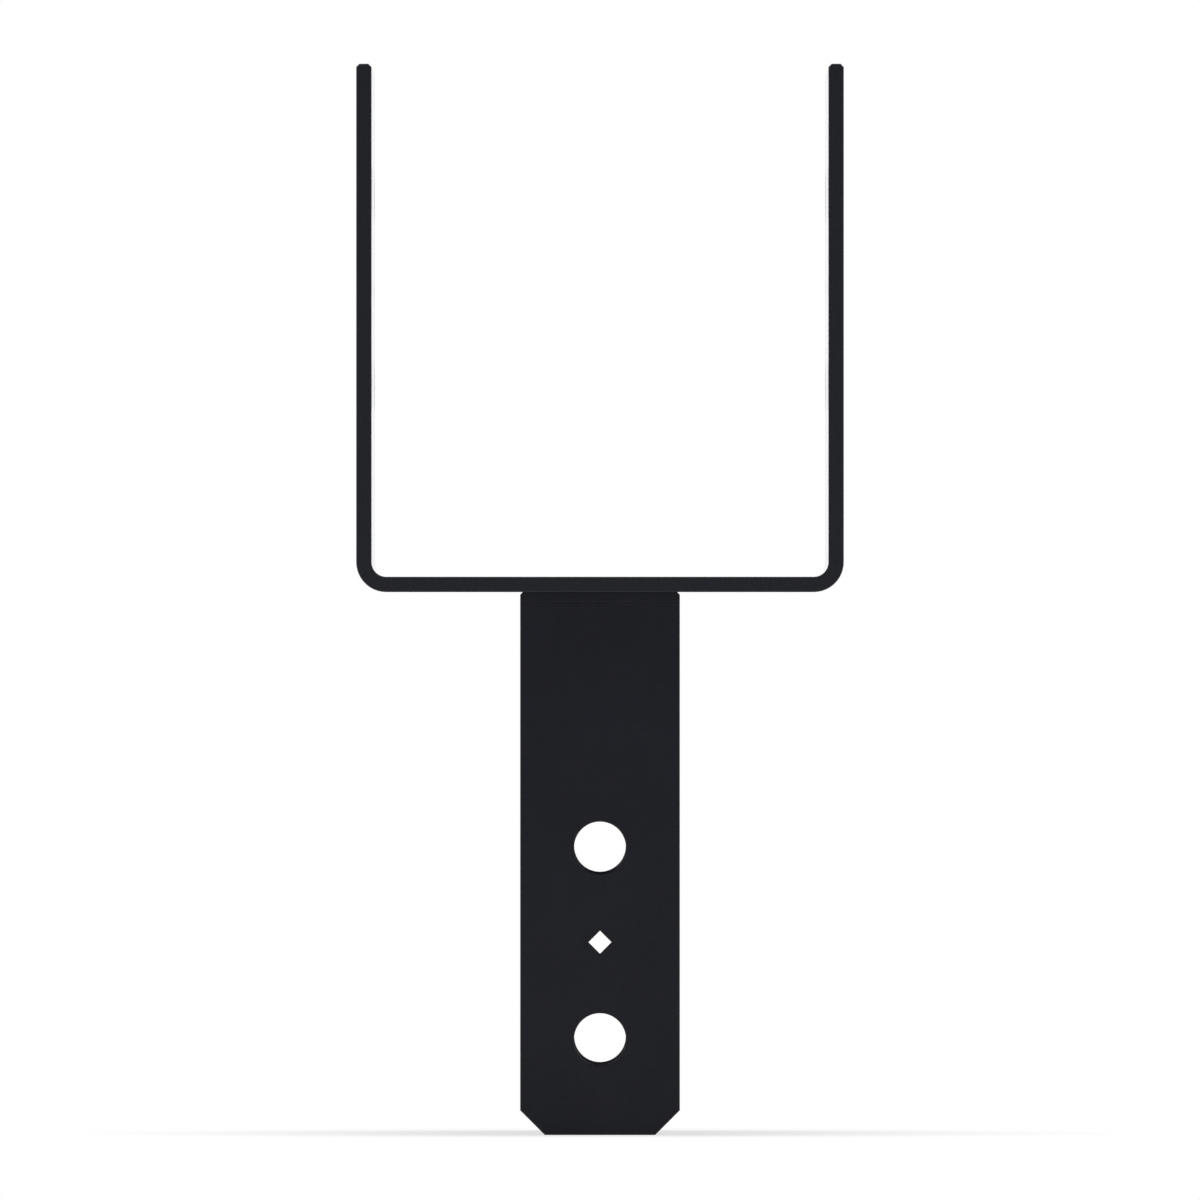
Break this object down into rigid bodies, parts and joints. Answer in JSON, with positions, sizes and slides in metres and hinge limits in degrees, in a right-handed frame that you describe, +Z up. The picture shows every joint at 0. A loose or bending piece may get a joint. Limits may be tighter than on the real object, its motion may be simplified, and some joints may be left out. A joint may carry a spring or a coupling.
{
  "type": "column cap",
  "caption": "Folded steel saddle that seats a timber beam, with welded straps below that bolt to the post.",
  "frame": {"origin": "centre of the seat's top face, on which the beam rests", "axes": "+Z up out of the seat, +Y along the beam, +X across the beam"},
  "size_m": [0.1932, 0.3302, 0.4252],
  "materials": {
    "coated_plate": "black satin powder coat on hot-rolled steel plate",
    "coated_weld": "black satin powder coat over a ground weld"
  },
  "bodies": {
    "root": {"beam_saddle": "coated_plate", "front_post_strap": "coated_plate", "rear_post_strap": "coated_plate", "front_strap_weld": "coated_weld", "rear_strap_weld": "coated_weld"}
  },
  "joints": []
}
